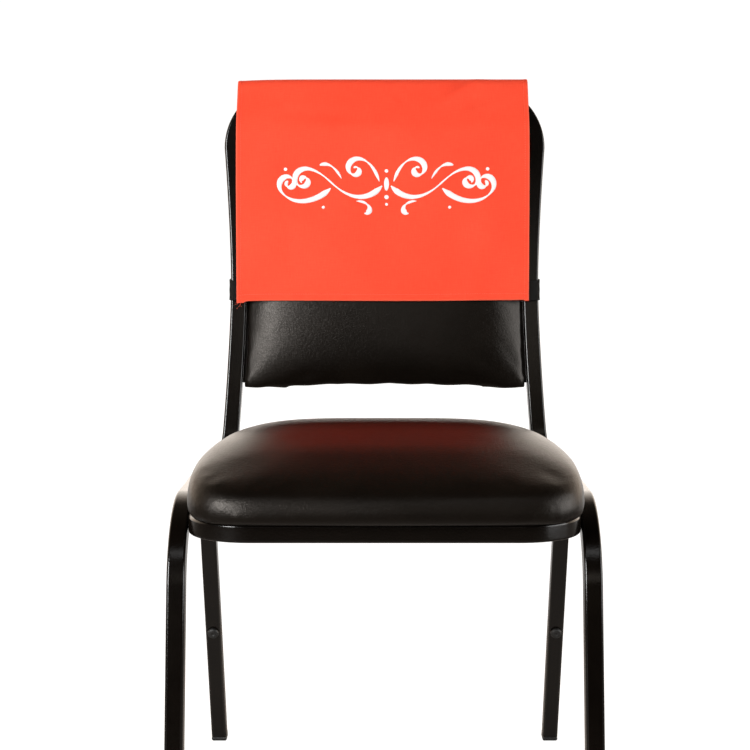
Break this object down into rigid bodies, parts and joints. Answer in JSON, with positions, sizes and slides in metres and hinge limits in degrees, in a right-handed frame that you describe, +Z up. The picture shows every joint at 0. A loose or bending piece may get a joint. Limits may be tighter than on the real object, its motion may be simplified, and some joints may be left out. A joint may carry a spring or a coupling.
{
  "type": "chair back cover on a stacking chair",
  "caption": "Red cloth cover folded over the top of a padded chair's back and held by elastic straps at its lower corners, on the plain black stacking chair it fits.",
  "frame": {"origin": "The middle of the footprint, on the floor that the four feet rest on.", "axes": "+Z is up. The chair faces -Y, so the cover's printed flap faces -Y too. +X is to the right for someone who looks at the front of the chair."},
  "size_m": [0.47, 0.5234, 0.8861],
  "materials": {
    "cover_cloth": "smooth closely woven red polyester cloth with turned and stitched hems",
    "elastic": "woven black elastic, 25 mm wide",
    "frame": "black powder coat with a soft gloss on square steel tube",
    "vinyl": "black vinyl with a fine grain, stretched over foam",
    "panel": "black covered board behind the back pad",
    "board": "bare plywood under the seat pad",
    "feet": "black moulded plastic"
  },
  "bodies": {
    "root": {"cover_cloth": "cover_cloth", "elastic_left": "elastic", "elastic_right": "elastic", "back_frame": "frame", "seat_ring": "frame", "seat_brace": "frame", "leg_frame_left": "frame", "leg_frame_right": "frame", "seat_pad": "vinyl", "back_pad": "vinyl", "back_panel": "panel", "seat_board": "board", "glide_front_left": "feet", "glide_front_right": "feet", "glide_rear_left": "feet", "glide_rear_right": "feet", "bumper_left": "feet", "bumper_right": "feet"}
  },
  "joints": []
}
